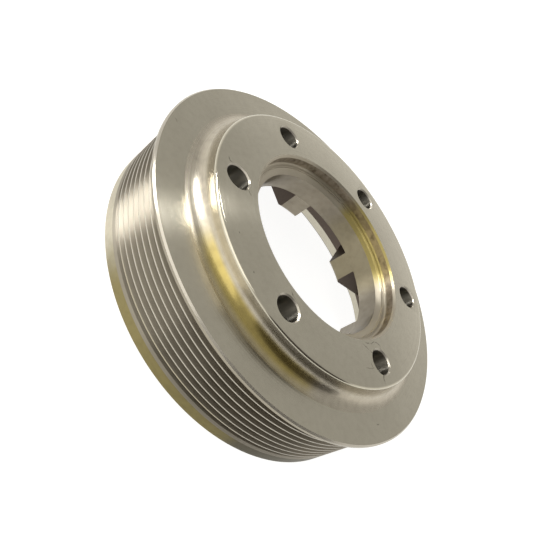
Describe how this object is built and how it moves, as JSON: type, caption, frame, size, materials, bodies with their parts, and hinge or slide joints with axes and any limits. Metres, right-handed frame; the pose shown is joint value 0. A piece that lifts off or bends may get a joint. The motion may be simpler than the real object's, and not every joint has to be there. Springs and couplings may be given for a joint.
{
  "type": "crankshaft pulley",
  "caption": "One-piece turned steel belt pulley with a ribbed-belt face behind a thin flange disc, and a raised boss with a ring of bolt holes round a stepped bore.",
  "frame": {"origin": "on the axis, in the plane of the rear face that the pulley lies on", "axes": "+Z along the axis towards the bolting boss, +X through the middle of one bolt hole"},
  "size_m": [0.18, 0.18, 0.0505],
  "materials": {
    "turned_steel": "fine-turned bare steel with a satin sheen, rougher in the grooves and the register"
  },
  "bodies": {
    "root": {"pulley": "turned_steel"}
  },
  "joints": []
}
